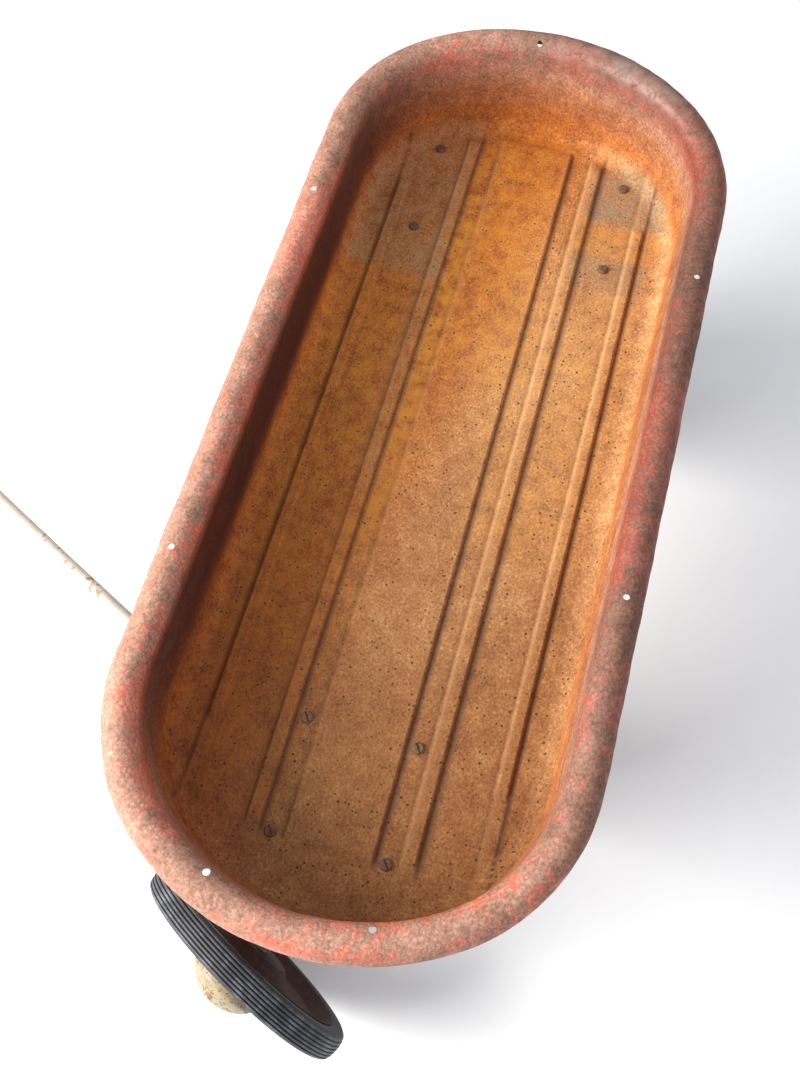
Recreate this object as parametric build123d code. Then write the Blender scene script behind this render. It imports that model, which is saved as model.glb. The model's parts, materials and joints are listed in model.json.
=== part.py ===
from build123d import *
from math import asin, atan2, cos, degrees, hypot, radians, sin, tan
import os

# Coaster wagon with a pull handle: a pressed steel tub on a fixed rear axle and a steering front truck.
# Millimetres. +X is forward, +Y is the wagon's left, +Z is up.
# The origin is the middle of the tub, on the top face of the raised centre floor panel.
# At rest the truck is turned to the right, and the handle lies out with its grip on the ground.

# Tub, seen in plan: straight sides, a corner arc at each corner, and a larger arc across each end.
tub_half_width = 200.0
tub_half_length = 464.5
corner_radius = tub_half_width - 30.8
end_radius = corner_radius + 53.8
sheet = 1.2

# Tub, in section: floor, fillet, leaning wall and a rolled rim.
press_height = 3.0
floor_level = -press_height
rim_height = 94.0
rim_radius = 15.0
rim_wrap = 210.0
wall_lean = 3.0
floor_fillet = 16.0

# Raised pressings of the floor: rear end, front end, middle line and width of each.
panel_rear, panel_front = 56.5 - tub_half_length, tub_half_length - 84.5
panel_width = 0.4 * tub_half_width
inner_rib_rear, inner_rib_front = 64.5 - tub_half_length, tub_half_length - 90.5
inner_rib_y, inner_rib_width = 0.3375 * tub_half_width, 15.5
outer_rib_rear, outer_rib_front = 136.5 - tub_half_length, tub_half_length - 164.5
outer_rib_y, outer_rib_width = 0.64 * tub_half_width, 14.0
panel_ramp = 8.0
rib_ramp = 12.0

# Small drain and mounting holes in the crown of the rim.
rim_hole_radius = 2.75
rim_hole_x = 194.0
loose_rim_holes = [
    (192.0, 15.0 - tub_half_width), (133.0, tub_half_width - 17.0), (tub_half_length - 33.5, 57.0),
    (tub_half_length - 38.5, -71.0), (24.5 - tub_half_length, -19.0),
]

# Wheels and axles.
wheel_radius = 121.0
tyre_width = 28.0
tyre_base_radius = wheel_radius - 33.0
rim_edge_radius = wheel_radius - 20.0
seat_slope = 0.88
tread_grooves = 6
tread_groove_pitch = 3.6
tread_groove_width = 1.5
tread_groove_depth = 1.6
tread_crown = 2.2
disc_sheet = 1.5
disc_boss_radius = 36.0
disc_boss_offset = 14.0
disc_web_radius = 50.0
bush_radius = 10.5
bush_half_length = 18.0
cap_radius = 38.0
cap_tip = 52.0
cap_dome_radius = 47.0
cap_sheet = 1.0
axle_radius = 6.35
running_clearance = 0.05
axle_height = -209.0
half_track = tub_half_width - 40.0
axle_end = 27.0
washer_radius = 12.5
washer_thickness = 1.6
axle_gap = 0.4
split_pin_radius = 1.5

# Rear brackets, one under each side of the tub.
rear_axle_x = 146.5 - tub_half_length
rear_bolt_half_pitch = 55.0
rear_bolt_y = 0.51 * tub_half_width
bracket_sheet = 2.5
bracket_half_top = 76.0
bracket_half_foot = 24.0
bracket_flange = 12.0
bracket_web_y = half_track - 35.0
foot_width = 42.0

# Front bolster, which is fixed to the tub, and the truck that turns under it on a kingpin.
kingpin_x = tub_half_length - 141.0
front_bolt_half_pitch = 0.25 * tub_half_width
bolster_half_plate = front_bolt_half_pitch + 16.0
bolster_sheet = 2.5
bolster_depth = 75.0
bolster_top_radius = 44.0
bolster_foot_radius = 30.0
turn_plate_radius = 48.0
turn_plate_thickness = 4.0
thrust_washer_thickness = 2.0
body_gap = 0.3
kingpin_radius = 7.94
kingpin_clearance = 0.06
truck_trail = 10.0
truck_yaw = -117.0
front_camber = 5.6
fork_sheet = 4.0
fork_half_length = 28.0
fork_top_half_width = 50.0
fork_leg_y = half_track - 42.0
fork_knee_drop = 72.0
fork_hem = 22.0
stay_width = 26.0
stay_sheet = 3.0
tongue_gap = 28.0
tongue_sheet = 3.0
tongue_half_height = 16.0
pivot_reach = 60.0
pivot_radius = 5.0

# Pull handle.
handle_length = 770.0
tube_radius = 8.0
tube_wall = 1.5
handle_bow = 4.0
eye_radius = 15.0
eye_gap = 0.3
socket_radius = 11.0
socket_length = 62.0
grip_rod_radius = 6.0
grip_half_width = 52.0
grip_depth = 74.0
grip_corner = 16.0
collar_radius = 10.5
collar_length = 34.0

# Screws, bolts and nuts of the floor.
bolt_radius = 3.1
bolt_hole_radius = 3.4
head_radius = 5.4
head_height = 2.6
slot_width = 1.5
slot_depth = 1.4
nut_across_flats = 11.0
nut_height = 5.0
spring_washer_thickness = 1.4
bolt_tail = 3.0

# Sizes that follow from the ones above.
straight_end = tub_half_length - end_radius
corner_y = tub_half_width - corner_radius
corner_x = straight_end + ((end_radius - corner_radius) ** 2 - corner_y ** 2) ** 0.5
end_angle = degrees(atan2(corner_y, corner_x - straight_end))
rim_level = floor_level + rim_height
lean = radians(wall_lean)
floor_inset = rim_radius + (
    rim_radius + floor_fillet + (rim_height - floor_fillet) * sin(lean)
) / cos(lean)
floor_underside = floor_level - sheet
ground = axle_height - wheel_radius
# The ends of the front axle are bent down just outside the legs, so its wheels lean out at the top.
bend_y = fork_leg_y + fork_sheet
bend_gap = 1.0
lean_out = radians(front_camber)
front_axle_height = ground + wheel_radius * cos(lean_out) + (half_track - bend_y) * sin(lean_out)
bolster_foot = floor_underside - bolster_depth
upper_plate_foot = bolster_foot - turn_plate_thickness
thrust_top = upper_plate_foot - body_gap
lower_plate_top = thrust_top - thrust_washer_thickness
fork_top = lower_plate_top - turn_plate_thickness
fork_underside = fork_top - fork_sheet
stay_underside = fork_underside - stay_sheet
handle_drop = degrees(asin((front_axle_height - ground - grip_rod_radius) / handle_length))
loop_start = handle_length - grip_depth
pin_y = half_track + bush_half_length + axle_gap + washer_thickness + split_pin_radius + 0.4
washer_face = half_track - bush_half_length - axle_gap - washer_thickness


def lathe(points):
    """Solid of revolution about Y of a closed outline of (radius, position along the axis) points."""
    return revolve(make_face(Polyline(*points, close=True)), Axis.Y)


def rod(radius, start, end):
    """Round bar between two points."""
    start, end = Vector(*start), Vector(*end)
    plane = Plane(origin=start, z_dir=end - start)
    return extrude(plane * Circle(radius), amount=(end - start).length)


def plate_ring(outer, inner, low, high):
    """Flat ring or disc about Z between two levels."""
    ring = Circle(outer) if inner == 0 else Circle(outer) - Circle(inner)
    return extrude(Pos(0, 0, low) * ring, amount=high - low)


def hexagon(across_flats, hole, low, high):
    """Hexagonal nut about Z between two levels."""
    shape = RegularPolygon(across_flats / 2, 6, major_radius=False) - Circle(hole)
    return extrude(Pos(0, 0, low) * shape, amount=high - low)


def plan_edges(inset):
    """Edges of the tub's plan outline, moved inward by the inset."""
    y = tub_half_width - inset
    sweep_angle = 90 - end_angle
    edges = []
    for side in (1, -1):
        edges.append(Line((-corner_x, side * y), (corner_x, side * y)))
        start = -end_angle if side > 0 else 180 - end_angle
        edges.append(CenterArc((side * straight_end, 0), end_radius - inset, start, 2 * end_angle))
        for corner in (1, -1):
            centre = (side * corner_x, corner * corner_y)
            first = {(1, 1): end_angle, (-1, 1): 90, (-1, -1): 180 + end_angle, (1, -1): 270}
            angle = first[(side, corner)]
            edges.append(CenterArc(centre, corner_radius - inset, angle, sweep_angle))
    return edges


def wall_section():
    """Closed section of the folded sheet, in (inset from the outline, height) coordinates."""
    normal = Vector(cos(lean), sin(lean))
    rim_centre = Vector(rim_radius, rim_level)
    fillet_centre = Vector(floor_inset, floor_level + floor_fillet)
    arc = 90 - wall_lean
    outer_foot = fillet_centre - normal * floor_fillet
    outer_top = rim_centre + normal * rim_radius
    inner_foot = fillet_centre - normal * (floor_fillet + sheet)
    inner_top = rim_centre + normal * (rim_radius - sheet)
    tip = Vector(cos(radians(rim_wrap)), sin(radians(rim_wrap)))
    wrap = rim_wrap - wall_lean
    return make_face([
        Line((floor_inset, floor_underside), (floor_inset, floor_level)),
        CenterArc((fillet_centre.X, fillet_centre.Y), floor_fillet, 270, -arc),
        Line(outer_foot, outer_top),
        CenterArc((rim_centre.X, rim_centre.Y), rim_radius, wall_lean, wrap),
        Line(rim_centre + tip * rim_radius, rim_centre + tip * (rim_radius - sheet)),
        CenterArc((rim_centre.X, rim_centre.Y), rim_radius - sheet, wall_lean, wrap),
        Line(inner_top, inner_foot),
        CenterArc((fillet_centre.X, fillet_centre.Y), floor_fillet + sheet, 270, -arc),
    ])


def section_at(x, y, angle):
    """The wall section stood up at a point of the outline whose outward direction has this angle."""
    inward = (-cos(radians(angle)), -sin(radians(angle)), 0)
    along = (sin(radians(angle)), -cos(radians(angle)), 0)
    return Plane(origin=(x, y, 0), x_dir=inward, z_dir=Vector(*inward).cross(Vector(0, 0, 1))) * wall_section()


def pressing(rear, front, y, width, ramp, drop):
    """Raised pressing with sloping sides and a longer ramp at each end, lowered by the drop."""
    middle = (rear + front) / 2
    foot = Pos(middle, y, floor_level - drop) * Rectangle(front - rear, width)
    top = Pos(middle, y, -drop) * Rectangle(front - rear - 2 * ramp, width - 2 * press_height)
    return loft([foot, top])


def all_pressings(drop):
    """Centre panel and the two ribs on each side of it."""
    shapes = [pressing(panel_rear, panel_front, 0, panel_width, panel_ramp, drop)]
    for side in (1, -1):
        shapes.append(pressing(inner_rib_rear, inner_rib_front, side * inner_rib_y, inner_rib_width, rib_ramp, drop))
        shapes.append(pressing(outer_rib_rear, outer_rib_front, side * outer_rib_y, outer_rib_width, rib_ramp, drop))
    return shapes


rear_bolt_points = [
    (rear_axle_x + end * rear_bolt_half_pitch, side * rear_bolt_y) for side in (1, -1) for end in (1, -1)
]
front_bolt_points = [
    (kingpin_x + end * front_bolt_half_pitch, side * front_bolt_half_pitch) for side in (1, -1) for end in (1, -1)
]
rim_hole_points = [(-rim_hole_x, tub_half_width - rim_radius), (-rim_hole_x, rim_radius - tub_half_width)]
rim_hole_points += loose_rim_holes


def make_tub():
    """Folded wall and rim round the floor, with the pressings, bolt holes and rim holes."""
    side_piece = extrude(section_at(0, tub_half_width, 90), amount=corner_x, both=True)
    corner_piece = revolve(
        section_at(corner_x, tub_half_width, 90), Axis((corner_x, corner_y, 0), (0, 0, -1)), 90 - end_angle
    )
    end_x = straight_end + end_radius * cos(radians(end_angle))
    end_y = end_radius * sin(radians(end_angle))
    end_piece = revolve(
        section_at(end_x, end_y, end_angle), Axis((straight_end, 0, 0), (0, 0, -1)), 2 * end_angle
    )
    pieces = [corner_piece, mirror(corner_piece, Plane.YZ), end_piece, mirror(end_piece, Plane.YZ)]
    pieces += [mirror(pieces[0], Plane.XZ), mirror(pieces[1], Plane.XZ), mirror(side_piece, Plane.XZ)]
    tub = side_piece
    for piece in pieces:
        tub += piece
    for x, y in rim_hole_points:
        height = rim_radius + 2
        tub -= Pos(x, y, rim_level + 1 + height / 2) * Cylinder(rim_hole_radius, height)
    outline = make_face(plan_edges(floor_inset))
    for x, y in rear_bolt_points + front_bolt_points:
        outline -= Pos(x, y) * Circle(bolt_hole_radius)
    floor = extrude(Pos(0, 0, floor_underside) * outline, amount=sheet)
    for raised in all_pressings(0):
        floor += raised
    for hollow in all_pressings(sheet):
        floor -= hollow
    tub += floor
    return tub


def screw_head(slotted):
    """Round head standing on the floor sheet, about Z with its seat at zero."""
    flat = head_radius * 0.98
    head = Cylinder(head_radius, head_height, align=(Align.CENTER, Align.CENTER, Align.MIN))
    head = fillet(head.edges().group_by(Axis.Z)[-1], head_height * 0.75)
    if slotted:
        head -= Pos(0, 0, head_height) * Rot(0, 0, 35) * Box(2 * flat + 1, slot_width, 2 * slot_depth)
    return head


def floor_bolts(points, slotted, clamped):
    """Bolts through the floor and the plate under it."""
    low = floor_underside - clamped - spring_washer_thickness - nut_height - bolt_tail
    bolts = []
    for x, y in points:
        shank = Pos(x, y, 0) * plate_ring(bolt_radius, 0, low, floor_level)
        bolts.append(shank + Pos(x, y, floor_level) * screw_head(slotted))
    return bolts


def floor_nuts(points, clamped):
    """Hexagon nut on each bolt."""
    high = floor_underside - clamped - spring_washer_thickness
    return [Pos(x, y, 0) * hexagon(nut_across_flats, bolt_radius, high - nut_height, high) for x, y in points]


def floor_washers(points, clamped):
    """Split spring washer under each nut."""
    high = floor_underside - clamped
    rings = []
    for x, y in points:
        ring = plate_ring(head_radius, bolt_radius, high - spring_washer_thickness, high)
        ring -= Pos(head_radius, 0, high) * Rot(0, 0, 20) * Box(2 * head_radius, 0.8, 4)
        rings.append(Pos(x, y, 0) * ring)
    return rings


def make_rear_bracket(side):
    """Foot plate under the floor, a tapering web down to the axle, and a flange along each slope."""
    t = bracket_sheet
    web_y = side * (bracket_web_y + t / 2)
    foot_y = side * (bracket_web_y + t - foot_width / 2)
    foot = Pos(rear_axle_x, foot_y, floor_underside - t / 2) * Box(2 * bracket_half_top, foot_width, t)
    low = axle_height - bracket_half_foot
    top = floor_underside
    outline = make_face(Polyline(
        (-bracket_half_top + 8, top), (bracket_half_top - 8, top), (bracket_half_foot, axle_height),
        (bracket_half_foot * 0.6, low), (-bracket_half_foot * 0.6, low), (-bracket_half_foot, axle_height),
        close=True,
    ))
    plane = Plane(origin=(rear_axle_x, web_y, 0), x_dir=(1, 0, 0), z_dir=(0, -1, 0))
    bracket = foot + extrude(plane * outline, amount=t / 2, both=True)
    flange_y = side * (bracket_web_y - bracket_flange / 2)
    for end in (1, -1):
        start = (end * (bracket_half_top - 8), top)
        stop = (end * bracket_half_foot, axle_height)
        inner_start = (start[0] - end * t, start[1])
        inner_stop = (stop[0] - end * t, stop[1])
        strip = make_face(Polyline(start, stop, inner_stop, inner_start, close=True))
        strip_plane = Plane(origin=(rear_axle_x, flange_y, 0), x_dir=(1, 0, 0), z_dir=(0, -1, 0))
        bracket += extrude(strip_plane * strip, amount=bracket_flange / 2, both=True)
    for x, y in rear_bolt_points:
        if y * side > 0:
            bracket -= Pos(x, y, floor_underside) * Cylinder(bolt_hole_radius, 4 * t)
    bore = rod(axle_radius, (rear_axle_x, -tub_half_width, axle_height), (rear_axle_x, tub_half_width, axle_height))
    lightening = Pos(rear_axle_x, web_y, (top + axle_height) / 2 + 20) * Rot(90, 0, 0) * Cylinder(22, 4 * t)
    return bracket - bore - lightening


def make_front_bolster():
    """Square flange bolted under the floor, with a hollow dish that comes down to the turning plates."""
    t = bolster_sheet
    flange_shape = RectangleRounded(2 * bolster_half_plate, 2 * bolster_half_plate, 14)
    flange = extrude(Pos(0, 0, floor_underside - t) * flange_shape, amount=t)
    flange -= plate_ring(bolster_top_radius - t, 0, floor_underside - 2 * t, floor_underside + t)
    dish = make_face(Polyline(
        (bolster_top_radius, floor_underside - t), (bolster_foot_radius, bolster_foot),
        (kingpin_radius + kingpin_clearance, bolster_foot), (kingpin_radius + kingpin_clearance, bolster_foot + t),
        (bolster_foot_radius - t, bolster_foot + t), (bolster_top_radius - t, floor_underside - t),
        (bolster_top_radius - t, floor_underside), (bolster_top_radius, floor_underside), close=True,
    ))
    bolster = flange + revolve(Plane.XZ * dish, Axis.Z)
    for x in (1, -1):
        for y in (1, -1):
            spot = Pos(x * front_bolt_half_pitch, y * front_bolt_half_pitch, floor_underside)
            bolster -= spot * Cylinder(bolt_hole_radius, 4 * t)
    return Pos(kingpin_x, 0, 0) * bolster


def axle_rod(half_length):
    """Axle along Y with a cross hole for the split pin near each end."""
    axle = rod(axle_radius, (0, -half_length, axle_height), (0, half_length, axle_height))
    axle = chamfer(axle.edges().filter_by(GeomType.CIRCLE), 0.8)
    for side in (1, -1):
        axle -= Pos(0, side * pin_y, axle_height) * Cylinder(split_pin_radius, 4 * axle_radius)
    return axle


def ring_on_axle(outer, low, high):
    """Washer or sleeve on the axle between two distances from the middle, on both sides."""
    rings = []
    for side in (1, -1):
        ring = rod(outer, (0, side * low, axle_height), (0, side * high, axle_height))
        ring -= rod(axle_radius, (0, side * (low - 1), axle_height), (0, side * (high + 1), axle_height))
        rings.append(ring)
    return rings


def axle_washers():
    """Inner and outer thrust washer of each wheel."""
    outer = half_track + bush_half_length + axle_gap
    inner = half_track - bush_half_length - axle_gap
    return ring_on_axle(washer_radius, outer, outer + washer_thickness) + ring_on_axle(
        washer_radius, inner - washer_thickness, inner
    )


def axle_sleeves(leg_face):
    """Spacer sleeve between the leg and the inner washer."""
    return ring_on_axle(9.5, leg_face, washer_face)


def bent_end(side):
    """Place for a part of a straight axle on one side of the front axle, turned down about the bend."""
    bend = Pos(0, side * bend_y, front_axle_height) * Rot(-side * front_camber, 0, 0)
    return bend * Pos(0, -side * bend_y, -axle_height)


def on_bent_ends(parts):
    """Parts of a straight axle, left and right in turn, placed on the bent ends."""
    return [bent_end(1 - 2 * (number % 2)) * part for number, part in enumerate(parts)]


def bent_axle_rod(half_length):
    """Axle along Y whose ends are bent down, with a cross hole for the split pin near each end."""
    end_y = bend_y + (half_length - bend_y) * cos(lean_out)
    end_z = front_axle_height - (half_length - bend_y) * sin(lean_out)
    line = Polyline((0, -end_y, end_z), (0, -bend_y, front_axle_height), (0, bend_y, front_axle_height), (0, end_y, end_z))
    start = Plane(origin=line @ 0, z_dir=line % 0)
    axle = sweep(start * Circle(axle_radius), path=line, transition=Transition.RIGHT)
    axle = chamfer(axle.edges().filter_by(GeomType.CIRCLE), 0.8)
    for side in (1, -1):
        axle -= bent_end(side) * Pos(0, side * pin_y, axle_height) * Cylinder(split_pin_radius, 4 * axle_radius)
    return axle


def split_pin(length):
    """Split pin along Z: shank with a round eye on top and legs spread at the foot."""
    r = split_pin_radius
    half = length / 2
    pin = rod(r, (0, 0, -half), (0, 0, half))
    pin += Pos(0, 0, half + 2.2 * r) * Rot(90, 0, 0) * Torus(1.9 * r, 0.75 * r)
    for side in (1, -1):
        pin += rod(0.62 * r, (0, 0, 0.8 * r - half), (side * 3.2 * r, 0, -half - 1.6 * r))
    return pin


def axle_pins():
    """Split pin through each end of the axle."""
    return [Pos(0, side * pin_y, axle_height) * split_pin(2 * axle_radius + 3) for side in (1, -1)]


def tyre_section():
    """Closed section of the tyre: grooved and crowned tread, sidewalls and the wedge that sits in the rim."""
    half = tyre_width / 2
    edge = half - 2.0
    shoulder = wheel_radius - tread_crown - 0.6
    seat_u = (rim_edge_radius - tyre_base_radius) * seat_slope
    outline = [(shoulder, -edge)]
    for index in range(tread_grooves):
        middle = (index - (tread_grooves - 1) / 2) * tread_groove_pitch
        for step in (-0.5, 0.5):
            u = middle + step * tread_groove_width
            crest = wheel_radius - tread_crown * (u / edge) ** 2
            floor = crest - tread_groove_depth
            outline += [(crest, u), (floor, u)] if step < 0 else [(floor, u), (crest, u)]
    outline += [(shoulder, edge), (wheel_radius - 6.5, half), (wheel_radius - 14.5, half - 0.4)]
    outline += [(rim_edge_radius + 1.0, seat_u + 0.9), (rim_edge_radius, seat_u)]
    outline += [(tyre_base_radius + 3.0, 3.0 * seat_slope)]
    outline += [(tyre_base_radius + 3.0, -3.0 * seat_slope)]
    outline += [(rim_edge_radius, -seat_u), (rim_edge_radius + 1.0, -seat_u - 0.9)]
    outline += [(wheel_radius - 14.5, 0.4 - half), (wheel_radius - 6.5, -half)]
    return outline


def make_disc():
    """Half of the pressed wheel disc, on the +Y side of the wheel's middle plane."""
    t = disc_sheet
    flare = (rim_edge_radius - tyre_base_radius) * seat_slope
    return lathe([
        (bush_radius, disc_boss_offset), (disc_boss_radius, disc_boss_offset), (disc_web_radius, 0),
        (tyre_base_radius, 0), (rim_edge_radius, flare),
        (rim_edge_radius + 0.3, flare + t * 1.4), (rim_edge_radius - 0.9, flare + t * 1.5),
        (tyre_base_radius - 0.8, t), (disc_web_radius + 0.6, t),
        (disc_boss_radius + 0.6, disc_boss_offset + t), (bush_radius, disc_boss_offset + t),
    ])


def make_bush():
    """Bearing tube through the wheel."""
    bore = axle_radius + running_clearance
    return lathe([
        (bore, -bush_half_length), (bush_radius, -bush_half_length),
        (bush_radius, bush_half_length), (bore, bush_half_length),
    ])


def make_hub_cap():
    """Domed cap pressed over the boss of the outer disc."""
    t = cap_sheet
    centre = cap_tip - cap_dome_radius
    foot = disc_boss_offset + disc_sheet - (cap_radius - t - disc_boss_radius - 0.6) + 0.02
    bend = 5.0

    def skin(radius, dome, soft):
        # Bend that touches the skirt from inside and the dome from inside.
        ball = dome - soft
        edge = radius - soft
        level = centre + (ball ** 2 - edge ** 2) ** 0.5
        angle = degrees(atan2(level - centre, edge))
        return level, angle

    outer_level, outer_angle = skin(cap_radius, cap_dome_radius, bend)
    inner_level, inner_angle = skin(cap_radius - t, cap_dome_radius - t, bend - t)
    face = make_face([
        Line((cap_radius, foot), (cap_radius, outer_level)),
        CenterArc((cap_radius - bend, outer_level), bend, 0, outer_angle),
        CenterArc((0, centre), cap_dome_radius, outer_angle, 90 - outer_angle),
        Line((0, cap_tip), (0, cap_tip - t)),
        CenterArc((0, centre), cap_dome_radius - t, inner_angle, 90 - inner_angle),
        CenterArc((cap_radius - bend, inner_level), bend - t, 0, inner_angle),
        Line((cap_radius - t, inner_level), (cap_radius - t, foot)),
        Line((cap_radius - t, foot), (cap_radius, foot)),
    ])
    return revolve(face, Axis.Y)


def make_fork_leg(side):
    """Slanting strap from the top plate out to the axle, with a flange that is welded under the plate."""
    t = fork_sheet
    knee_z = fork_underside - fork_knee_drop
    low = front_axle_height - fork_hem
    outline = make_face(Polyline(
        (fork_top_half_width - 22, fork_underside), (fork_top_half_width, fork_underside),
        (fork_leg_y + t, knee_z), (fork_leg_y + t, low), (fork_leg_y, low), (fork_leg_y, knee_z + t * 0.4),
        (fork_top_half_width - 1.6, fork_underside - t), (fork_top_half_width - 22, fork_underside - t),
        close=True,
    ))
    plane = Plane(origin=(-truck_trail, 0, 0), x_dir=(0, 1, 0), z_dir=(1, 0, 0))
    leg = extrude(plane * outline, amount=fork_half_length * 0.82, both=True)
    start = (-truck_trail, fork_leg_y - 5, front_axle_height)
    leg -= rod(axle_radius, start, (-truck_trail, fork_leg_y + 10, front_axle_height))
    return leg if side > 0 else mirror(leg, Plane.XZ)


def make_tongue():
    """Channel that carries the handle's pivot: two ears joined by a web behind the axle."""
    t = tongue_sheet
    inner = tongue_gap / 2
    back = -truck_trail - 22
    nose = pivot_reach + tongue_half_height
    tongue = Part()
    for side in (1, -1):
        middle = side * (inner + t / 2)
        plate = Pos((back + pivot_reach) / 2, middle, front_axle_height) * Box(pivot_reach - back, t, 2 * tongue_half_height)
        nose_disc = Pos(pivot_reach, middle, front_axle_height) * Rot(90, 0, 0) * Cylinder(tongue_half_height, t)
        tongue += plate + nose_disc
    tongue += Pos(back + t / 2, 0, front_axle_height) * Box(t, tongue_gap + 2 * t, 2 * tongue_half_height)
    tongue -= rod(axle_radius, (-truck_trail, -50, front_axle_height), (-truck_trail, 50, front_axle_height))
    tongue -= rod(pivot_radius, (pivot_reach, -50, front_axle_height), (pivot_reach, 50, front_axle_height))
    return tongue


def make_stay():
    """Bent strap from the kingpin down to the back web of the tongue."""
    t = stay_sheet
    back = -truck_trail - 22
    foot = front_axle_height + tongue_half_height
    outline = make_face(Polyline(
        (24, fork_underside), (back, fork_underside), (back, foot), (back + 2 * t, foot), (back + 2 * t, foot + t),
        (back + t, foot + t), (back + t, stay_underside), (24, stay_underside), close=True,
    ))
    plane = Plane(origin=(0, 0, 0), x_dir=(1, 0, 0), z_dir=(0, -1, 0))
    stay = extrude(plane * outline, amount=stay_width / 2, both=True)
    return stay - plate_ring(kingpin_radius, 0, stay_underside - 5, fork_underside + 5)


def make_kingpin():
    """Round-headed pin through the bolster, the plates, the top of the fork and the stay."""
    head_seat = bolster_foot + bolster_sheet + body_gap + 2.0
    pin = plate_ring(kingpin_radius, 0, stay_underside - 25, head_seat)
    pin += plate_ring(14.0, 0, head_seat, head_seat + 8.0)
    pin = fillet(pin.edges().group_by(Axis.Z)[-1], 4.0)
    hole = rod(split_pin_radius, (-20, 0, stay_underside - 20.0), (20, 0, stay_underside - 20.0))
    return pin - hole


def bowed(distance):
    """Side offset of the bowed handle tube at a distance from the pivot."""
    return 4 * handle_bow * distance * (handle_length - distance) / handle_length ** 2


def tube_along(radius):
    """Round bar bent to the shallow arc of the handle tube."""
    start = socket_length - 34
    end = loop_start - 2
    middle = (start + end) / 2
    path = ThreePointArc((start, bowed(start), 0), (middle, bowed(middle), 0), (end, bowed(end), 0))
    return sweep(Plane(origin=path @ 0, z_dir=path % 0) * Circle(radius), path=path)


def make_socket():
    """Eye that turns on the pivot bolt, with a socket for the tube."""
    eye = Rot(90, 0, 0) * Cylinder(eye_radius, tongue_gap - 2 * eye_gap)
    socket = eye + rod(socket_radius, (0, 0, 0), (socket_length, bowed(socket_length), 0))
    socket -= rod(pivot_radius + running_clearance, (0, -50, 0), (0, 50, 0))
    return socket - tube_along(tube_radius)


def make_grip_loop():
    """Rod bent to a stirrup: a crossbar for the hand and two arms that meet in a stub."""
    stub = rod(tube_radius, (loop_start - 1, bowed(loop_start), 0), (loop_start + 16, 0, 0))
    path = FilletPolyline(
        (loop_start + 14, -3, 0), (handle_length, -grip_half_width, 0),
        (handle_length, grip_half_width, 0), (loop_start + 14, 3, 0), radius=grip_corner,
    )
    arms = sweep(Plane(origin=path @ 0, z_dir=path % 0) * Circle(grip_rod_radius), path=path)
    return stub + arms


def make_grip_collar(loop):
    """Sleeve that joins the tube and the stub of the grip."""
    start, end = loop_start - 26, loop_start + 6
    sleeve = rod(collar_radius, (start, bowed(start), 0), (end, bowed(end), 0))
    return sleeve - tube_along(tube_radius) - loop


nodes = {}

# Parts fixed to the tub.
nodes["tub"] = make_tub()
nodes["front_bolster"] = make_front_bolster()
pin_hole = kingpin_radius + kingpin_clearance
nodes["upper_turn_plate"] = Pos(kingpin_x, 0, 0) * plate_ring(
    turn_plate_radius, pin_hole, upper_plate_foot, bolster_foot
)
nodes["front_screws"] = floor_bolts(front_bolt_points, True, bolster_sheet)
nodes["front_nuts"] = floor_nuts(front_bolt_points, bolster_sheet)
nodes["front_spring_washers"] = floor_washers(front_bolt_points, bolster_sheet)
nodes["rear_bracket_left"] = make_rear_bracket(1)
nodes["rear_bracket_right"] = make_rear_bracket(-1)
nodes["rear_bolts"] = floor_bolts(rear_bolt_points, False, bracket_sheet)
nodes["rear_nuts"] = floor_nuts(rear_bolt_points, bracket_sheet)
nodes["rear_spring_washers"] = floor_washers(rear_bolt_points, bracket_sheet)
rear_place = Pos(rear_axle_x, 0, 0)
nodes["rear_axle"] = rear_place * axle_rod(half_track + axle_end)
nodes["rear_axle_washers"] = [rear_place * part for part in axle_washers()]
nodes["rear_axle_sleeves"] = [rear_place * part for part in axle_sleeves(bracket_web_y + bracket_sheet)]
nodes["rear_split_pins"] = [rear_place * part for part in axle_pins()]

# Parts of the truck, built pointing straight ahead and then turned on the kingpin.
truck_place = Pos(kingpin_x, 0, 0) * Rot(0, 0, truck_yaw)
axle_place = truck_place * Pos(-truck_trail, 0, 0)
top_plate = Pos((20 - truck_trail) / 2, 0, fork_underside + fork_sheet / 2) * Box(
    2 * fork_half_length + 20 + truck_trail, 2 * fork_top_half_width, fork_sheet
)
nut_top = stay_underside
truck = {
    "thrust_washer": plate_ring(turn_plate_radius - 2, kingpin_radius, lower_plate_top, thrust_top),
    "lower_turn_plate": plate_ring(turn_plate_radius, kingpin_radius, fork_top, lower_plate_top),
    "fork_top_plate": top_plate - plate_ring(kingpin_radius, 0, fork_underside - 5, fork_top + 5),
    "fork_leg_left": make_fork_leg(1),
    "fork_leg_right": make_fork_leg(-1),
    "fork_stay": make_stay(),
    "tongue": make_tongue(),
    "kingpin": make_kingpin(),
    "kingpin_washer": plate_ring(
        18.0, kingpin_radius, bolster_foot + bolster_sheet + body_gap, bolster_foot + bolster_sheet + body_gap + 2.0
    ),
    "kingpin_nut": hexagon(24.0, kingpin_radius, nut_top - 13, nut_top),
    "kingpin_split_pin": Pos(0, 0, nut_top - 20.0) * Rot(0, 90, 0) * split_pin(2 * kingpin_radius + 3),
}
for name, part in truck.items():
    nodes[name] = truck_place * part
nodes["front_axle"] = axle_place * bent_axle_rod(half_track + axle_end)
nodes["front_axle_washers"] = [axle_place * part for part in on_bent_ends(axle_washers())]
nodes["front_axle_sleeves"] = [axle_place * part for part in on_bent_ends(axle_sleeves(bend_y + bend_gap))]
nodes["front_split_pins"] = [axle_place * part for part in on_bent_ends(axle_pins())]

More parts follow.
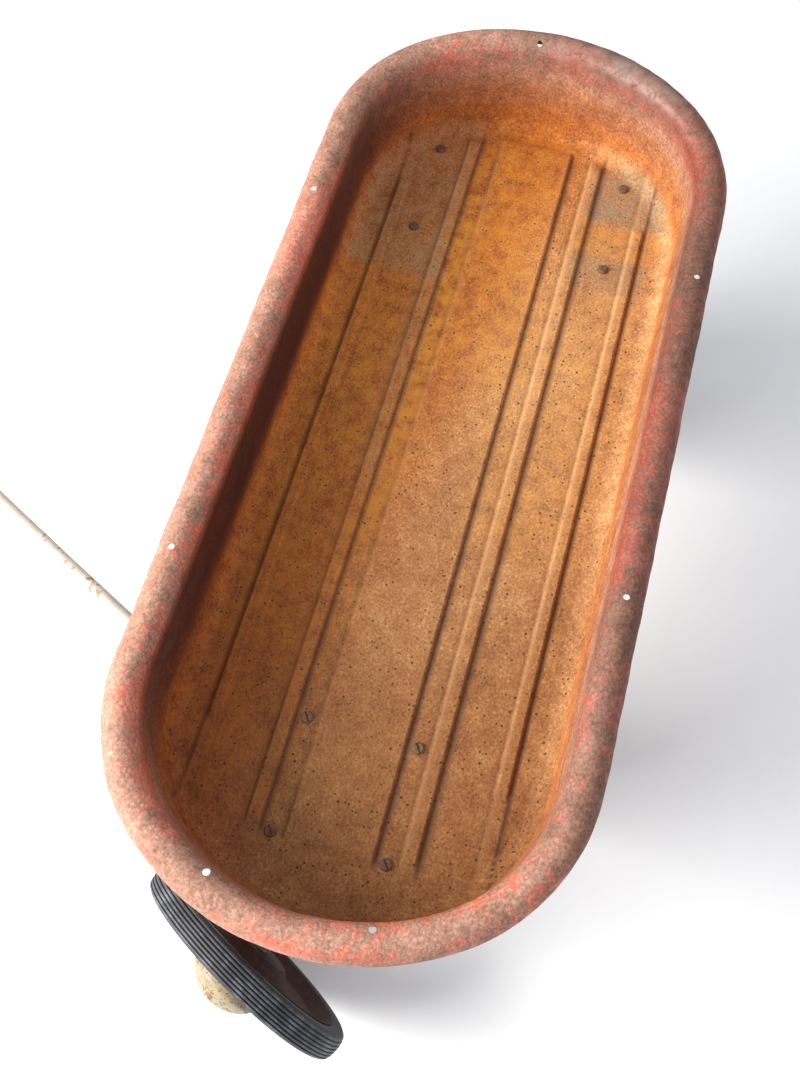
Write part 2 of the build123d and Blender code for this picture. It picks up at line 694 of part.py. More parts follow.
# Pivot bolt of the handle, held in the tongue.
ear_face = tongue_gap / 2 + tongue_sheet
pivot_place = truck_place * Pos(pivot_reach, 0, front_axle_height) * Rot(90, 0, 0)
nodes["handle_pivot_bolt"] = pivot_place * (
    plate_ring(pivot_radius, 0, -ear_face - 12, ear_face) + hexagon(16.0, 0.5, ear_face, ear_face + 6)
    + plate_ring(0.6, 0, ear_face, ear_face + 6)
)
nodes["handle_pivot_nut"] = pivot_place * hexagon(16.0, pivot_radius, -ear_face - 8, -ear_face)

# Handle, built along +X from its pivot, lowered until the crossbar meets the ground.
handle_place = truck_place * Pos(pivot_reach, 0, front_axle_height) * Rot(0, handle_drop, 0)
loop = make_grip_loop()
nodes["handle_tube"] = handle_place * (tube_along(tube_radius) - tube_along(tube_radius - tube_wall))
nodes["handle_socket"] = handle_place * make_socket()
nodes["grip_loop"] = handle_place * loop
nodes["grip_collar"] = handle_place * make_grip_collar(loop)

# Wheels, built about +Y with the hub cap on the outer side.
disc = make_disc()
wheel = {
    "tyre": lathe(tyre_section()),
    "outer_disc": disc,
    "inner_disc": mirror(disc, Plane.XZ),
    "bush": make_bush(),
    "hub_cap": make_hub_cap(),
}
for corner, place in (("rear", Pos(rear_axle_x, 0, 0)), ("front", axle_place)):
    for side, turn in (("left", 0), ("right", 180)):
        end_place = place * bent_end(1 if turn == 0 else -1) if corner == "front" else place
        spot = end_place * Rot(0, 0, turn) * Pos(0, half_track, axle_height)
        for name, part in wheel.items():
            nodes[f"{corner}_{side}_{name}"] = spot * part

os.makedirs("parts", exist_ok=True)
for name, part in nodes.items():
    shape = Compound(children=part) if isinstance(part, list) else part
    export_step(shape, f"parts/{name}.step")
    print(name, round(shape.volume, 1))
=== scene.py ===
# %% [markdown]
# # A pull wagon of pressed steel
# This lesson dresses a finished CAD model: an old coaster wagon with a long rounded tub, solid rubber tyres and a
# steel pull handle. Each new piece is worked out in numpy where the CAD says it belongs, so nothing is fitted.

# %% Load the frame
import json
import math

import bpy
import numpy as np
from mathutils import Matrix, Vector


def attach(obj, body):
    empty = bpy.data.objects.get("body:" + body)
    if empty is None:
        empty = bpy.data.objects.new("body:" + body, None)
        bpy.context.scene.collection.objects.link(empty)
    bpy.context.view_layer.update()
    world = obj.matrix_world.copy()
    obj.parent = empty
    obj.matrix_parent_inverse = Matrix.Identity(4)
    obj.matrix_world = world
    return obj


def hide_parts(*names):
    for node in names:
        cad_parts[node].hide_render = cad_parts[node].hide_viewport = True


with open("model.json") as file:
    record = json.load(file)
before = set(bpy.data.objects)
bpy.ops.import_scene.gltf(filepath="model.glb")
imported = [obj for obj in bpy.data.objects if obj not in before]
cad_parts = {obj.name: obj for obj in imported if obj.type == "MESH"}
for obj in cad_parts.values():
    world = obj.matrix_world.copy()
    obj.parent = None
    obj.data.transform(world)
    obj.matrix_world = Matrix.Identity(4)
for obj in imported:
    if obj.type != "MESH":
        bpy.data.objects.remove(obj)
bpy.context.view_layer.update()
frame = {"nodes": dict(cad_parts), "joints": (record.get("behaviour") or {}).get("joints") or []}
nodes = frame["nodes"]
joints = {joint["name"]: joint for joint in frame["joints"]}
MM = 0.001
print("CAD nodes:", len(nodes), "joints:", sorted(joints))

# %% [markdown]
# ## Four small helpers
# A colour is written as an sRGB hex value, as on a paint card, and turned to the linear light values that the
# renderer works in. One function adds a shader node with its settings and links. One turns arrays of points and
# faces into a mesh object, which stays at the origin with its place in its mesh, as the CAD nodes do. The last is a
# smooth step, which fades one value into another.

# %% Helpers


def linear(hex_colour, alpha=1.0):
    """sRGB hex to linear: each channel is (c + 0.055) / 1.055 to the power 2.4, or c / 12.92 when dark."""
    code = np.array([int(hex_colour[i:i + 2], 16) for i in (1, 3, 5)]) / 255
    value = np.where(code <= 0.04045, code / 12.92, ((code + 0.055) / 1.055) ** 2.4)
    return (*value.tolist(), alpha)


def add(tree, kind, inputs=None, out=0, stops=None, **settings):
    """Adds a node with its settings, and its inputs as values or as links, and returns one of its outputs."""
    made = tree.nodes.new(kind)
    for key, value in settings.items():
        setattr(made, key, value)
    for index, (place, colour) in enumerate(stops or []):
        ramp = made.color_ramp.elements
        element = ramp[index] if index < 2 else ramp.new(place)
        element.position, element.color = place, linear(colour)
    for key, value in (inputs or {}).items():
        if isinstance(value, bpy.types.NodeSocket):
            tree.links.new(value, made.inputs[key])
        else:
            made.inputs[key].default_value = value
    return made.outputs[out]


def piece(name, points, faces, body, replaced, smooth_angle=40):
    """A mesh from arrays of points in metres and of faces, riding on a CAD body in place of some CAD nodes."""
    mesh = bpy.data.meshes.new(name)
    mesh.from_pydata(points.reshape(-1, 3).tolist(), [], [tuple(face) for face in faces])
    mesh.validate()
    mesh.shade_smooth()
    mesh.set_sharp_from_angle(angle=math.radians(smooth_angle))
    made = bpy.data.objects.new(name, mesh)
    bpy.context.scene.collection.objects.link(made)
    if body:
        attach(made, body)
    if replaced:
        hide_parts(*replaced)
    return made


def smooth(low, high, value):
    """Smooth step: 0 below low, 1 above high, and three t squared less two t cubed between."""
    t = np.clip((value - low) / (high - low), 0, 1)
    return t * t * (3 - 2 * t)


print("white is", linear("#ffffff")[:3])

# %% [markdown]
# ## The tub
# The real tub is one sheet of steel, pressed in a die: a flat floor with a raised centre panel and two ribs each
# side, a soft fillet, a wall that leans out, and an edge rolled over into a half-round rim. A sheet is best made as
# one surface with a thickness. The floor is a grid whose rows run along the wagon, so that rows can be crowded
# where a rib's flank is. The grid's border then becomes the first ring of the wall, and each next ring is the
# border pushed out along its own normal and lifted, which is how the section is carried round the corners.

# %% Sizes of the tub, in millimetres
half_width, corner_radius, end_radius = 200.0, 169.2, 223.0
half_length = 464.5
sheet = 1.2
press_height = 3.0
rim_radius, rim_level, rim_wrap = 15.0, 91.0, 210.0
fillet_radius, lean = 16.0, math.radians(3.0)
floor_level = -press_height
corner_y = half_width - corner_radius
straight_end = half_length - end_radius
corner_x = straight_end + math.sqrt((end_radius - corner_radius) ** 2 - corner_y ** 2)
end_angle = math.atan2(corner_y, corner_x - straight_end)
wall_rise = rim_level - floor_level - fillet_radius
floor_inset = rim_radius + (rim_radius + fillet_radius + wall_rise * math.sin(lean)) / math.cos(lean)
print(f"floor edge {floor_inset:.2f} mm in from the rim, corner centres at {corner_x:.1f}, {corner_y:.1f} mm")


# %% Floor shape


def raised(along, across, rear, front, middle, width, ramp):
    """Share of the press height: a plateau with smooth flanks 3 mm wide and a longer ramp at each end."""
    flank = smooth(0, press_height, width / 2 - abs(across - middle))
    return flank * smooth(0, ramp, np.minimum(along - rear, front - along))


def floor_height(along, across):
    """Height of the floor's top face: its level plus the tallest pressing at that place."""
    shape = raised(along, across, -408, 380, 0, 80, 8)
    for side in (1, -1):
        shape = np.maximum(shape, raised(along, across, -400, 374, side * 67.5, 15.5, 12))
        shape = np.maximum(shape, raised(along, across, -328, 300, side * 128, 14, 12))
    return floor_level + press_height * shape


def row_reach(across):
    """How far forward the floor reaches at each row: on the corner arc or the end arc, whichever it meets."""
    r_corner, r_end = corner_radius - floor_inset, end_radius - floor_inset
    y = np.abs(across)
    on_corner = corner_x + np.sqrt(np.maximum(r_corner ** 2 - np.maximum(y - corner_y, 0) ** 2, 0))
    on_end = straight_end + np.sqrt(np.maximum(r_end ** 2 - y ** 2, 0))
    return np.where(y > r_end * math.sin(end_angle), on_corner, on_end)


# %% Rows and columns of the floor grid
edge_y = half_width - floor_inset
flank_feet = np.array([40, 59.75, 75.25, 121, 135])
flank_way = np.array([-1, 1, -1, 1, -1])
flank_rows = (flank_feet[:, None] + flank_way[:, None] * np.array([-1.0, 0, 0.7, 1.5, 2.3, 3.0, 4.0])).ravel()
arc_rows = corner_y + (corner_radius - floor_inset) * np.sin(np.radians(np.linspace(90, 35, 26)))
arc_rows = np.concatenate([arc_rows, np.linspace(0, 96, 22)[:-1], [edge_y]])
clear = np.abs(arc_rows[:, None] - flank_rows[None, :]).min(axis=1) > 1.6
half_rows = np.unique(np.round(np.concatenate([flank_rows, arc_rows[clear], [0.0, edge_y]]), 3))
half_rows = half_rows[half_rows <= edge_y + 1e-6]
half_rows[-1] = edge_y
rows_y = np.concatenate([-half_rows[:0:-1], half_rows])
middle_reach = straight_end + end_radius - floor_inset
half_columns = np.concatenate([np.linspace(0, 264, 34), np.linspace(264, middle_reach, 51)[1:]])
columns_u = np.concatenate([-half_columns[:0:-1], half_columns]) / middle_reach
across, share = np.meshgrid(rows_y, columns_u, indexing="ij")
along = share * row_reach(across)
floor_points = np.stack([along, across, floor_height(along, across)], axis=-1)
n_rows, n_columns = along.shape
print("floor grid:", n_rows, "rows by", n_columns, "columns")

# %% Border of the grid and its outward normals
index = np.arange(n_rows * n_columns).reshape(n_rows, n_columns)
border = np.concatenate([index[0, :-1], index[:-1, -1], index[-1, :0:-1], index[:0:-1, 0]])
edge = floor_points.reshape(-1, 3)[border, :2]
beyond_corner = np.abs(edge[:, 1]) < (end_radius - floor_inset) * math.sin(end_angle)
centre_x = np.where(beyond_corner, straight_end, corner_x) * np.sign(edge[:, 0])
centre_x = np.where(np.abs(edge[:, 0]) <= corner_x + 1e-6, edge[:, 0], centre_x)
centre_y = np.where(beyond_corner, 0, corner_y * np.sign(edge[:, 1]))
outward = edge - np.stack([centre_x, centre_y], axis=-1)
outward /= np.linalg.norm(outward, axis=1, keepdims=True)
print("border points:", len(border))

# %% Section of the wall: fillet, lean and rolled rim, as (inset, height)
turn = np.radians(np.linspace(270, 180 + math.degrees(lean), 9)[1:])
section = [np.stack([floor_inset + fillet_radius * np.cos(turn),
                     floor_level + fillet_radius + fillet_radius * np.sin(turn)], axis=-1)]
curl = np.radians(np.linspace(math.degrees(lean), rim_wrap, 21))
rim_arc = np.stack([rim_radius + rim_radius * np.cos(curl), rim_level + rim_radius * np.sin(curl)], axis=-1)
steps = np.linspace(0, 1, 8)[1:-1, None]
section += [section[0][-1] + (rim_arc[0] - section[0][-1]) * steps, rim_arc]
section = np.concatenate(section)
rings = np.zeros((len(section), len(border), 3))
rings[:, :, :2] = edge + outward * (floor_inset - section[:, 0])[:, None, None]
rings[:, :, 2] = section[:, 1][:, None]
print("wall rings:", len(section))

# %% [markdown]
# An old wagon is never quite true. A few shallow dents go into the rim, each a smooth hollow that fades with the
# square of the distance, and the rim's edge wanders by a few tenths of a millimetre.

# %% Dents and wander of the rim
chance = np.random.default_rng(36)
reach = np.clip((rings[:, :, 2:] - 60) / 40, 0, 1)
push = np.concatenate([outward, np.zeros((len(outward), 1))], axis=1)[None]
phase = rings[:, :, :1] * 0.021 + rings[:, :, 1:2] * 0.017
wander = 0.25 * np.sin(phase * 2.3 + 1) + 0.2 * np.sin(phase * 5.1) + 0.15 * np.sin(phase * 11.7 + 2)
for _ in range(16):
    place = rings[-chance.integers(8, 16), chance.integers(len(border))]
    size, depth = chance.uniform(7, 18), chance.uniform(0.25, 0.9)
    wander = wander - depth * np.exp(-((rings - place) ** 2).sum(axis=-1, keepdims=True) / (2 * size ** 2))
rings += reach * (wander - 0.45) * push
tub_points = np.concatenate([floor_points.reshape(-1, 3), rings.reshape(-1, 3)]) * MM
print("tub surface points:", len(tub_points))

# %% Faces of the tub
quads = [np.stack([index[:-1, :-1], index[:-1, 1:], index[1:, 1:], index[1:, :-1]], axis=-1).reshape(-1, 4)]
loops = np.vstack([border, index.size + np.arange(len(section) * len(border)).reshape(len(section), -1)])
after = np.roll(loops, -1, axis=1)
quads += [np.stack([loops[:-1], loops[1:], after[1:], after[:-1]], axis=-1).reshape(-1, 4)]
tub = piece("tub_sheet", tub_points, np.concatenate(quads), "wagon_body", ["tub"], 60)
normals = np.zeros(len(tub.data.polygons) * 3)
tub.data.polygons.foreach_get("normal", normals)
print("floor faces look up:", bool(normals.reshape(-1, 3)[0, 2] > 0), "faces:", len(tub.data.polygons))

# %% [markdown]
# The sheet gets its thickness from a Solidify modifier, which grows away from the faces' normals, so the inside
# keeps its exact place. Then the screw holes and the small holes in the rim are drilled with a Boolean: the
# cutters are many-sided prisms, joined in one mesh. The rim is open below, so its holes show what is under it.

# %% Thickness and holes
rim_holes = [(-194, 185), (-194, -185), (192, -185), (133, 183), (431, 57), (426, -71), (-440, -19)]
floor_holes = [(-318 + x, y) for x in (55, -55) for y in (102, -102)]
floor_holes += [(323.5 + x, y) for x in (50, -50) for y in (50, -50)]
rim_hole_radius, screw_hole_radius, drill_sides = 2.75, 3.4, 24
rim_depth, floor_depth = (93, 112), (-9, 3)
drills = [(x, y, rim_hole_radius, *rim_depth) for x, y in rim_holes]
drills += [(x, y, screw_hole_radius, *floor_depth) for x, y in floor_holes]
spots = np.array(drills)
ring = np.linspace(0, 2 * math.pi, drill_sides + 1)[:-1]
prism = np.zeros((len(spots), 2, drill_sides, 3))
prism[..., 0] = spots[:, 0, None, None] + spots[:, 2, None, None] * np.cos(ring)
prism[..., 1] = spots[:, 1, None, None] + spots[:, 2, None, None] * np.sin(ring)
prism[:, :, :, 2] = spots[:, 3:5, None]
count = np.arange(drill_sides)
after_count = (count + 1) % drill_sides
sides = np.stack([count, after_count, drill_sides + after_count, drill_sides + count], axis=-1)
starts = 2 * drill_sides * np.arange(len(spots))
shells = [(sides + start).tolist() + [(start + count[::-1]).tolist(), (start + drill_sides + count).tolist()]
          for start in starts]
cutter = piece("drill_bits", prism * MM, sum(shells, []), None, None)
solidify = tub.modifiers.new("sheet_thickness", "SOLIDIFY")
solidify.thickness, solidify.offset = sheet * MM, -1
solidify.use_even_offset = True
drill = tub.modifiers.new("holes", "BOOLEAN")
drill.operation, drill.solver, drill.object = "DIFFERENCE", "EXACT", cutter
bpy.context.view_layer.update()
finished = bpy.data.meshes.new_from_object(tub.evaluated_get(bpy.context.evaluated_depsgraph_get()))
tub.modifiers.clear()
tub.data = finished
bpy.data.objects.remove(cutter)
finished.shade_smooth()
finished.set_sharp_from_angle(angle=math.radians(50))
finished.calc_loop_triangles()
print("tub triangles:", len(finished.loop_triangles))

# %% [markdown]
# Wear follows the shape: paint stays where hands and loads don't rub, rust gathers in creases, and stains spread
# from the axle bolts. Some zones also carry painted light and shade: the crease lines are rust with painted shade,
# the rib edge lines are wear with a painted highlight, the floor's shaded half takes a deeper rust that is partly
# painted shade, and the front of the floor and the wall on the window side take painted shade. These zones are
# painted on the mesh as attributes, each a smooth function of the place in millimetres. The shader breaks their
# borders up with noise.

# %% Zones of wear on the tub
place = np.zeros(len(finished.vertices) * 3)
finished.vertices.foreach_get("co", place)
px, py, pz = (place.reshape(-1, 3) / MM).T


def bump(value, middle, spread):
    """Bell curve: e to the power minus the squared distance over twice the squared spread."""
    return np.exp(-(value - middle) ** 2 / (2 * spread ** 2))


def band(value, low, high, soft):
    """1 between low and high, falling smoothly to 0 over the soft width outside them."""
    return smooth(low - soft, low, value) * (1 - smooth(high, high + soft, value))


def inset_of(x, y):
    """Distance in from the outline: from the side, the corner arc or the end arc, by the place's sector."""
    x, y = np.abs(x), np.abs(y)
    at_end = np.arctan2(y, x - straight_end) < end_angle
    round_part = np.where(at_end, end_radius - np.hypot(x - straight_end, y),
                          corner_radius - np.hypot(x - corner_x, y - corner_y))
    return np.where(x < corner_x, half_width - y, round_part)


def lines(places, spread):
    """Thin lines along the wagon, each given by its side distance and its strength."""
    return np.max([share * bump(py, y, spread) for y, share in places], axis=0)


inset = inset_of(px, py)
on_floor = 1 - smooth(4, 22, pz)
in_length = band(px, -396, 370, 14)
zones = {
    "height": np.clip(smooth(-3, 106, pz) + 0.4 * smooth(330, 440, px) * smooth(15, 60, pz), 0, 1),
    "crown": smooth(92, 100, pz) * bump(inset, 16, 5),
    # crease lines: rust in the creases, plus painted shade, strongest at the flank feet that face away from the
    # window
    "crease_rust_and_shade": on_floor * in_length * lines(
        [(40.5, 1), (75.8, 1), (135.5, 1), (59, 0.35), (120.5, 0.3), (-135.5, 0.8), (-59.5, 1), (-75.5, 0.4),
         (-40.5, 0.3), (-121, 0.25)], 1.1),
    # rib edge lines: wear, plus a painted highlight on the flanks that face the window
    "worn_edge_and_highlight": on_floor * in_length * lines(
        [(63, 1), (124.5, 0.9), (36, 0.2), (-37, 0.3), (-72, 0.25), (-132, 0.2)], 1.5),
    "ochre": on_floor * np.clip(
        1.1 * band(py, -58, -41, 4) * band(px, -300, 70, 60)
        + 0.45 * band(py, -158, -60, 20) * band(px, -260, 330, 90)
        + 0.45 * band(py, -40, 20, 40) * band(px, -390, -120, 60)
        + 0.4 * band(py, 40, 140, 20) * band(px, -200, 40, 80)
        + 0.6 * band(px, -318, -284, 8) * band(py, 62, 150, 8), 0, 1),
    "grey": on_floor * np.clip(
        band(px, -392, -328, 8) * band(py, 74, 150, 8) + 0.55 * band(px, -276, -238, 5) * band(py, 70, 143, 4)
        + 0.6 * band(px, -405, -215, 22) * band(py, -160, -66, 12)
        + 0.4 * band(px, -190, 20, 60) * bump(py, -68, 9), 0, 1),
    # tan on the lit half of the floor; the shaded half keeps deeper rust, which is partly painted shade
    "tan": on_floor * smooth(-75, 45, py + 0.2 * px),
    # painted shade towards the front of the floor, under the front wall
    "fore": on_floor * smooth(-160, 330, px),
    # painted shade on the inner face of the wall on the window side
    "shaded_wall": smooth(4, 30, pz) * (1 - smooth(84, 100, pz)) * smooth(60, 150, -py - 0.15 * np.abs(px)),
    # the rim darker and duller towards the wagon's left and rear
    "handled": smooth(60, 95, pz) * smooth(30, 175, py - 0.25 * px),
    # a whitish patch painted on the rim at the rear
    "pale_rear_rim": smooth(80, 100, pz) * bump(px, -408, 42) * bump(py, 70, 48),
}
for name, value in zones.items():
    finished.attributes.new(name, "FLOAT", "POINT").data.foreach_set("value", value.astype(np.float32))
print("zones painted:", sorted(zones))

# %% [markdown]
# ## The tyres
# Each tyre is solid rubber, moulded with six grooves round its tread and pinched between the two wheel discs. It is
# a lathe shape: a closed outline of radius against width, turned about the axle. The outline is first written with
# straight runs, as a mould maker would draw it. Then its corners are cut back a few times, which rounds the ribs a little
# as moulding and wear do.

# %% Lathe helpers


def cut_corners(outline, limit, times=2):
    """Corner cutting: each corner of a closed outline gives way to two points, at most a quarter side away."""
    for _ in range(times):
        side = np.roll(outline, -1, axis=0) - outline
        length = np.linalg.norm(side, axis=1, keepdims=True)
        back = np.minimum(limit, 0.25 * length) / length
        outline = np.stack([outline + side * back, outline + side * (1 - back)], axis=1).reshape(-1, 2)
        limit = limit / 2.4
    return outline


def lathe(outline, turns):
    """Turns a closed (radius, width) outline about the Y axis: x is r cos a, y is the width, z is r sin a."""
    angle = np.linspace(0, 2 * math.pi, turns + 1)[:-1, None]
    radius, width = outline[:, 0], outline[:, 1]
    points = np.stack([radius * np.cos(angle), width + 0 * angle, radius * np.sin(angle)], axis=-1)
    grid = np.arange(turns * len(outline)).reshape(turns, -1)
    right, up = np.roll(grid, -1, axis=0), np.roll(grid, -1, axis=1)
    both = np.roll(right, -1, axis=1)
    return points, np.stack([grid, up, both, right], axis=-1).reshape(-1, 4)


def placed(points, joint, outer):
    """Moves wheel points to a wheel's joint: local Y goes along the axle, outwards, and Z up, square to it."""
    axis = Vector(joint["axis"]) * outer
    ahead = axis.cross(Vector((0, 0, 1)))
    ahead.normalize()
    turned = points.reshape(-1, 3) @ np.array([ahead, axis, ahead.cross(axis)]) * MM
    return turned + np.array(joint["pos_m"])


# %% Tyre outline, in millimetres
wheel_radius, tyre_half, rim_edge, tyre_base, seat = 121.0, 14.0, 101.0, 88.0, 0.88
tread_edge = tyre_half - 2.0
crown_drop, groove_depth, groove_pitch = 2.2, 1.6, 3.6
middles = (np.arange(6) - 2.5) * groove_pitch
u = (middles[:, None] + np.array([-0.75, -0.5, 0.5, 0.75])).ravel()
crest = wheel_radius - crown_drop * (u / tread_edge) ** 2
tread = np.stack([crest - np.tile([0, groove_depth, groove_depth, 0], 6), u], axis=-1)
shoulder = wheel_radius - 2.8
seat_u = (rim_edge - tyre_base) * seat
flank = np.array([[shoulder, tread_edge], [wheel_radius - 6.5, tyre_half],
                  [wheel_radius - 14.5, tyre_half - 0.4], [rim_edge + 1.0, seat_u + 0.9],
                  [rim_edge, seat_u], [tyre_base + 3, 3 * seat]])
outline = np.concatenate([tread, flank, flank[::-1] * [1, -1]])
tyre_outline = cut_corners(outline, 0.8, 3)
print("tyre outline points:", len(outline), "rounded to", len(tyre_outline))

# %% Four tyres
tyres = []
for corner in ("rear_left", "rear_right", "front_left", "front_right"):
    points, faces = lathe(tyre_outline, 144)
    outer = 1 if corner.endswith("left") else -1
    tyre = piece(f"{corner}_rubber", placed(points, joints[f"{corner}_roll"], outer), faces,
                 f"{corner}_wheel", [f"{corner}_tyre"])
    radius = np.hypot(points[..., 0], points[..., 2]).ravel()
    rise = crown_drop * (points[..., 1].ravel() / tread_edge) ** 2
    crest_value = smooth(wheel_radius - 1.3, wheel_radius - 0.4, radius + rise)
    crest_map = tyre.data.attributes.new("rib_crest", "FLOAT", "POINT")
    crest_map.data.foreach_set("value", crest_value.astype(np.float32))
    tyres.append(tyre)
print("tyre faces each:", len(tyres[0].data.polygons))

# %% [markdown]
# ## Finishes
# Every finish starts from what the real one is. Patterns are sized in millimetres: a noise texture on Object
# coordinates repeats about once in 1 / scale metres, so a scale is 1000 over the size wanted.

# %% Start of a material


def start(name):
    """A new material with its Principled shader and a node that gives Object coordinates."""
    material = bpy.data.materials.new(name)
    material.use_nodes = True
    tree = material.node_tree
    shader = next(node for node in tree.nodes if node.type == "BSDF_PRINCIPLED")
    where = add(tree, "ShaderNodeTexCoord", out="Object")
    return material, tree, shader, where


def wear(*pieces, finish):
    """Puts one finish on pieces."""
    for item in pieces:
        item.data.materials.clear()
        item.data.materials.append(finish)


# %% [markdown]
# ### Rust and worn red enamel
# The tub was dipped in red enamel over bare steel. On the floor the paint is gone and the steel has rusted through
# ochre to brown, with dark pits a few millimetres apart. On the rim, brown rust shows between flakes of faded
# salmon paint. Rust is rough and scatters light like dust. Old enamel keeps a dull gloss.

# %% Rusted floor and flaking rim
finish, tree, shader, where = start("rusted_steel_with_worn_red_enamel")
zone = {name: add(tree, "ShaderNodeAttribute", out="Fac", attribute_name=name) for name in zones}
cloud = add(tree, "ShaderNodeTexNoise", {"Vector": where, "Scale": 1000 / 110, "Detail": 3, "Roughness": 0.6})
blotch = add(tree, "ShaderNodeTexNoise", {"Vector": where, "Scale": 1000 / 16, "Detail": 6, "Roughness": 0.7})
grain = add(tree, "ShaderNodeTexNoise", {"Vector": where, "Scale": 1000 / 2.6, "Detail": 4, "Roughness": 0.75})
depth = add(tree, "ShaderNodeMath", {0: blotch, 1: 0.5, 2: -0.13}, operation="MULTIPLY_ADD")
depth = add(tree, "ShaderNodeMath", {0: cloud, 1: 0.35, 2: depth}, operation="MULTIPLY_ADD")
depth = add(tree, "ShaderNodeMath", {0: grain, 1: 0.92, 2: depth}, operation="MULTIPLY_ADD")
# deeper, more saturated rust for the shaded half of the floor: partly the rust's own colour, partly painted shade
rust_deep_and_shaded = add(tree, "ShaderNodeValToRGB", {"Fac": depth}, stops=[
    (0.5, "#5f2d0e"), (0.95, "#e08a2c"), (0.66, "#9a4f18"), (0.8, "#bd6a20")])
tan_rust = add(tree, "ShaderNodeValToRGB", {"Fac": depth}, stops=[
    (0.5, "#683f22"), (0.95, "#dcb283"), (0.65, "#a06c41"), (0.8, "#bd8957")])
colour = add(tree, "ShaderNodeMix", {0: zone["tan"], 6: rust_deep_and_shaded, 7: tan_rust}, 2, data_type="RGBA")
ochre_edge = add(tree, "ShaderNodeMapRange", {"Value": blotch, "From Min": 0.38, "From Max": 0.62})
ochre_part = add(tree, "ShaderNodeMath", {0: zone["ochre"], 1: ochre_edge}, operation="MULTIPLY")
colour = add(tree, "ShaderNodeMix", {0: ochre_part, 6: colour, 7: linear("#cb8526")}, 2, data_type="RGBA")
grey_edge = add(tree, "ShaderNodeMapRange", {"Value": blotch, "From Min": 0.3, "From Max": 0.62})
grey_part = add(tree, "ShaderNodeMath", {0: zone["grey"], 1: grey_edge}, operation="MULTIPLY")
grey_colour = add(tree, "ShaderNodeValToRGB", {"Fac": depth}, stops=[(0.5, "#57452f"), (0.95, "#a28c70")])
colour = add(tree, "ShaderNodeMix", {0: grey_part, 6: colour, 7: grey_colour}, 2, data_type="RGBA")

# Dark pits, one to two millimetres wide, on cells under five millimetres apart, each with a paler ring of ochre.
pitted = {"Vector": where, "Scale": 1000 / 4.6, "Randomness": 1.0}
cells = add(tree, "ShaderNodeTexVoronoi", pitted, "Distance")
cell_size = add(tree, "ShaderNodeTexVoronoi", pitted, "Color")
cell_value = add(tree, "ShaderNodeSeparateColor", {"Color": cell_size}, 0)
pit_reach = add(tree, "ShaderNodeMapRange", {"Value": cell_value, "From Min": 0.3, "From Max": 1.0,
                                              "To Max": 0.34})
pit = add(tree, "ShaderNodeMath", {0: pit_reach, 1: cells}, operation="SUBTRACT")
ring = add(tree, "ShaderNodeMapRange", {"Value": pit, "From Min": -0.2, "From Max": -0.04, "To Max": 0.5})
colour = add(tree, "ShaderNodeMix", {0: ring, 6: colour, 7: linear("#c98f4a")}, 2, data_type="RGBA")
pit = add(tree, "ShaderNodeMapRange", {"Value": pit, "From Min": -0.02, "From Max": 0.1})
pit_shade = add(tree, "ShaderNodeMath", {0: pit, 1: 0.85}, operation="MULTIPLY")
colour = add(tree, "ShaderNodeMix", {0: pit_shade, 6: colour, 7: linear("#4a2a1a")}, 2, data_type="RGBA")
# dark crease lines: rust, plus painted shade at the flank feet that face away from the window
crease_rust_and_shade_part = add(tree, "ShaderNodeMapRange", {"Value": grain, "From Min": 0.3, "From Max": 0.6,
                                                "To Min": 0.35})
crease_rust_and_shade_part = add(tree, "ShaderNodeMath", {0: zone["crease_rust_and_shade"], 1: crease_rust_and_shade_part}, operation="MULTIPLY")
colour = add(tree, "ShaderNodeMix", {0: crease_rust_and_shade_part, 6: colour, 7: linear("#3d2010")}, 2, data_type="RGBA")
# pale rib edge lines: wear, plus a painted highlight
edge_wear_and_highlight = add(tree, "ShaderNodeMath", {0: zone["worn_edge_and_highlight"], 1: 0.45}, operation="MULTIPLY")
colour = add(tree, "ShaderNodeMix", {0: edge_wear_and_highlight, 6: colour, 7: linear("#cfa274")}, 2, data_type="RGBA")

# The wall and the rim: brown-red rust below, brown-grey rust above, and the flakes of enamel over it.
rim_rust = add(tree, "ShaderNodeValToRGB", {"Fac": depth}, stops=[
    (0.5, "#684437"), (0.95, "#c49a84"), (0.68, "#8f6754"), (0.8, "#a67b68")])
wall_rust = add(tree, "ShaderNodeValToRGB", {"Fac": depth}, stops=[
    (0.5, "#5a2e18"), (0.95, "#c88850"), (0.7, "#8f5434"), (0.82, "#a5683f")])
to_wall = add(tree, "ShaderNodeMapRange", {"Value": zone["height"], "From Min": 0.02, "From Max": 0.35})
to_rim = add(tree, "ShaderNodeMapRange", {"Value": zone["height"], "From Min": 0.5, "From Max": 0.86})
colour = add(tree, "ShaderNodeMix", {0: to_wall, 6: colour, 7: wall_rust}, 2, data_type="RGBA")
colour = add(tree, "ShaderNodeMix", {0: to_rim, 6: colour, 7: rim_rust}, 2, data_type="RGBA")
flake = add(tree, "ShaderNodeTexNoise", {"Vector": where, "Scale": 1000 / 8, "Detail": 8, "Roughness": 0.72,
                                         "Distortion": 0.4})
cover = add(tree, "ShaderNodeMapRange", {"Value": cloud, "From Min": 0.35, "From Max": 0.65, "To Min": -0.09,
                                         "To Max": 0.09})
cover = add(tree, "ShaderNodeMath", {0: flake, 1: cover}, operation="ADD")
cover = add(tree, "ShaderNodeMath", {0: zone["crown"], 1: -0.09, 2: cover}, operation="MULTIPLY_ADD")
flake_edge = add(tree, "ShaderNodeMapRange", {"Value": cover, "From Min": 0.475, "From Max": 0.535})
paint_part = add(tree, "ShaderNodeMapRange", {"Value": zone["height"], "From Min": 0.72, "From Max": 0.95})
paint_part = add(tree, "ShaderNodeMath", {0: paint_part, 1: flake_edge}, operation="MULTIPLY")
